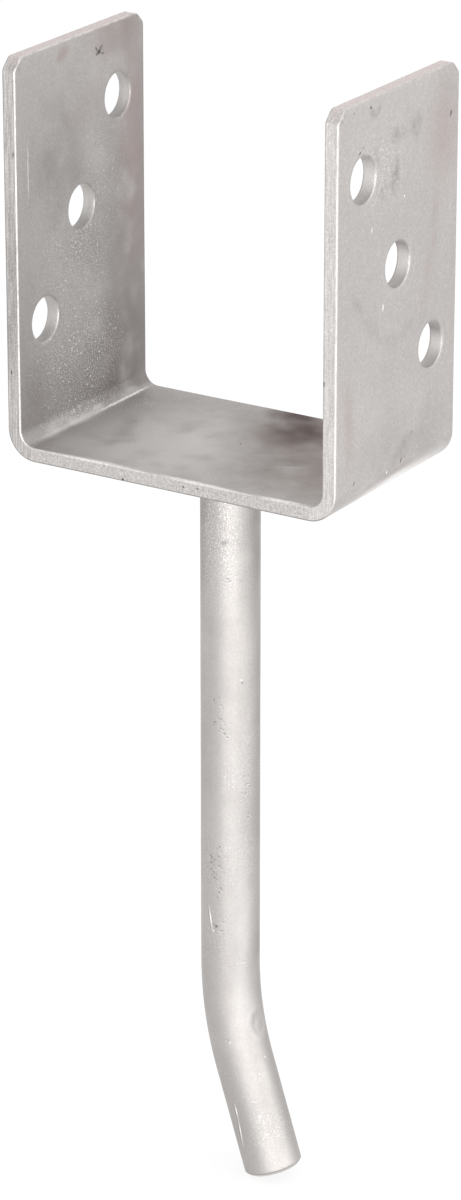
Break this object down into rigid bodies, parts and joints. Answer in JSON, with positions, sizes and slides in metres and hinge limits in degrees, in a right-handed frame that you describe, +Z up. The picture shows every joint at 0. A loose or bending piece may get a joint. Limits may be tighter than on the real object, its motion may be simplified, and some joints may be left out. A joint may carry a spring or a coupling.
{
  "type": "timber post base",
  "caption": "U-shaped stainless steel bracket for the foot of a timber post, with staggered bolt holes in its cheeks and a cranked round anchor bar to set in concrete.",
  "frame": {"origin": "middle of the seat, the upper face of the U's base, on which the post stands", "axes": "+Z up from the seat into the post; X from cheek to cheek, and the bar's tail is cranked towards +X; Y along the width of the strip"},
  "size_m": [0.099, 0.06, 0.3132],
  "materials": {
    "bracket_steel": "tumbled matte stainless sheet with rounded sheared edges and faint stains",
    "bar_steel": "matte stainless bar with small pits and handling scratches",
    "weld_metal": "rippled fillet weld"
  },
  "bodies": {
    "root": {"u_bracket": "bracket_steel", "anchor_bar": "bar_steel", "weld_bead": "weld_metal"}
  },
  "joints": []
}
